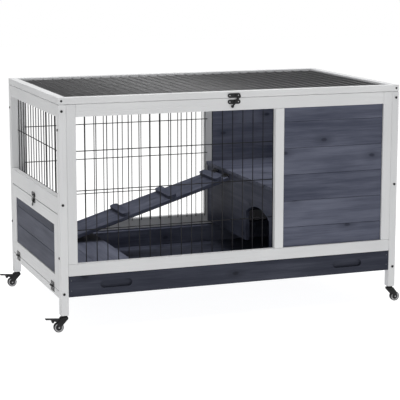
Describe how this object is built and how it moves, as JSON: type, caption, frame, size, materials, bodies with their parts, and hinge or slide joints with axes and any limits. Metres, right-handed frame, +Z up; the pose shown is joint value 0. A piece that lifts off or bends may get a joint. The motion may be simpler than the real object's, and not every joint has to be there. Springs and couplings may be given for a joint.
{
  "type": "rabbit hutch",
  "caption": "Indoor rabbit hutch on casters, with wire mesh sides and lid, a drop-down end flap, an upper deck over a den, a ramp with cleats and a pull-out tray.",
  "frame": {"origin": "on the floor, at the middle of the whole plan with the casters at rest", "axes": "+X to the right along the width, +Y from the front to the back, +Z up; the front faces -Y and the flap -X"},
  "size_m": [0.971, 0.5399, 0.58],
  "materials": {
    "white_paint": "satin white paint on softwood",
    "slate_stain": "matt blue-grey stain on softwood",
    "wire": "black coated welded wire",
    "hardware": "black enamel",
    "steel": "bright zinc plate",
    "caster_fork": "black enamel pressing",
    "caster_plastic": "black moulded nylon",
    "tyre": "black moulded tread"
  },
  "bodies": {
    "carcass": {"post_front_left": "white_paint", "post_front_right": "white_paint", "post_back_left": "white_paint", "post_back_right": "white_paint", "front_top_rail": "white_paint", "front_lower_rail": "white_paint", "front_side_stiles": "white_paint", "front_mid_stile": "white_paint", "front_mesh": "wire", "front_planks": "slate_stain", "back_rails": "white_paint", "back_stiles": "white_paint", "back_mesh": "wire", "back_planks": "slate_stain", "back_apron": "slate_stain", "left_top_rail": "white_paint", "left_mid_rail": "white_paint", "left_sill_rail": "white_paint", "left_mesh": "wire", "right_rails": "white_paint", "right_planks": "slate_stain", "deck_boards": "slate_stain", "deck_battens": "slate_stain", "divider": "slate_stain", "entry_ledge": "slate_stain", "tray_runners": "white_paint", "frame_bolts": "hardware", "caster_stems": "caster_fork", "fixed_hinge_leaves": "hardware", "hinge_pins": "steel", "lid_latch_base": "hardware", "flap_latch_keeper": "hardware"},
    "lid": {"lid_long_rails": "white_paint", "lid_side_rails": "white_paint", "lid_mesh": "wire", "lid_hinge_leaves": "hardware", "lid_latch_keeper": "hardware"},
    "lid_hook": {"lid_latch_hook": "hardware"},
    "flap": {"flap_rails": "white_paint", "flap_stiles": "white_paint", "flap_planks": "slate_stain", "flap_hinge_leaves": "hardware", "flap_latch_base": "hardware"},
    "flap_hook": {"flap_latch_hook": "hardware"},
    "ramp": {"ramp_board": "slate_stain", "ramp_cleats": "slate_stain", "ramp_hinge_leaves": "hardware"},
    "tray": {"tray_front": "slate_stain", "tray_walls": "slate_stain", "tray_floor": "slate_stain"},
    "fork_front_left": {"fork_front_left": "caster_fork"},
    "wheel_front_left": {"wheel_front_left": "tyre"},
    "brake_front_left": {"brake_front_left": "caster_plastic"},
    "fork_back_left": {"fork_back_left": "caster_fork"},
    "wheel_back_left": {"wheel_back_left": "tyre"},
    "brake_back_left": {"brake_back_left": "caster_plastic"},
    "fork_front_right": {"fork_front_right": "caster_fork"},
    "wheel_front_right": {"wheel_front_right": "tyre"},
    "fork_back_right": {"fork_back_right": "caster_fork"},
    "wheel_back_right": {"wheel_back_right": "tyre"}
  },
  "joints": [
    {"name": "lid_hinge", "type": "hinge", "parent": "carcass", "child": "lid", "pos_m": [0.01025, 0.2675, 0.56325], "axis": [-1, 0, 0], "range_deg": [0, 180]},
    {"name": "lid_hook_turn", "type": "hinge", "parent": "carcass", "child": "lid_hook", "pos_m": [0.00875, -0.268, 0.5535], "axis": [0, 1, 0], "range_deg": [-26, 60]},
    {"name": "flap_hinge", "type": "hinge", "parent": "carcass", "child": "flap", "pos_m": [-0.44975, 0, 0.1005], "axis": [0, -1, 0], "range_deg": [0, 115]},
    {"name": "flap_hook_turn", "type": "hinge", "parent": "flap", "child": "flap_hook", "pos_m": [-0.45025, -0.0035, 0.2865], "axis": [1, 0, 0], "range_deg": [-26, 60]},
    {"name": "ramp_hinge", "type": "hinge", "parent": "carcass", "child": "ramp", "pos_m": [0.12475, 0.1355, 0.30792], "axis": [0, 1, 0], "range_deg": [0, 40]},
    {"name": "tray_slide", "type": "slide", "parent": "carcass", "child": "tray", "axis": [0, -1, 0], "range_m": [0, 0.45]},
    {"name": "swivel_front_left", "type": "hinge", "parent": "carcass", "child": "fork_front_left", "pos_m": [-0.4375, -0.25425, 0.038], "axis": [0, 0, 1], "continuous": true},
    {"name": "roll_front_left", "type": "hinge", "parent": "fork_front_left", "child": "wheel_front_left", "pos_m": [-0.4525, -0.25425, 0.0125], "axis": [0, 1, 0], "continuous": true},
    {"name": "brake_press_front_left", "type": "hinge", "parent": "fork_front_left", "child": "brake_front_left", "pos_m": [-0.4485, -0.25425, 0.031], "axis": [0, -1, 0], "range_deg": [0, 5]},
    {"name": "swivel_back_left", "type": "hinge", "parent": "carcass", "child": "fork_back_left", "pos_m": [-0.4375, 0.25425, 0.038], "axis": [0, 0, 1], "continuous": true},
    {"name": "roll_back_left", "type": "hinge", "parent": "fork_back_left", "child": "wheel_back_left", "pos_m": [-0.4525, 0.25425, 0.0125], "axis": [0, 1, 0], "continuous": true},
    {"name": "brake_press_back_left", "type": "hinge", "parent": "fork_back_left", "child": "brake_back_left", "pos_m": [-0.4485, 0.25425, 0.031], "axis": [0, -1, 0], "range_deg": [0, 5]},
    {"name": "swivel_front_right", "type": "hinge", "parent": "carcass", "child": "fork_front_right", "pos_m": [0.458, -0.25425, 0.038], "axis": [0, 0, 1], "continuous": true},
    {"name": "roll_front_right", "type": "hinge", "parent": "fork_front_right", "child": "wheel_front_right", "pos_m": [0.473, -0.25425, 0.0125], "axis": [0, 1, 0], "continuous": true},
    {"name": "swivel_back_right", "type": "hinge", "parent": "carcass", "child": "fork_back_right", "pos_m": [0.458, 0.25425, 0.038], "axis": [0, 0, 1], "continuous": true},
    {"name": "roll_back_right", "type": "hinge", "parent": "fork_back_right", "child": "wheel_back_right", "pos_m": [0.473, 0.25425, 0.0125], "axis": [0, 1, 0], "continuous": true}
  ]
}
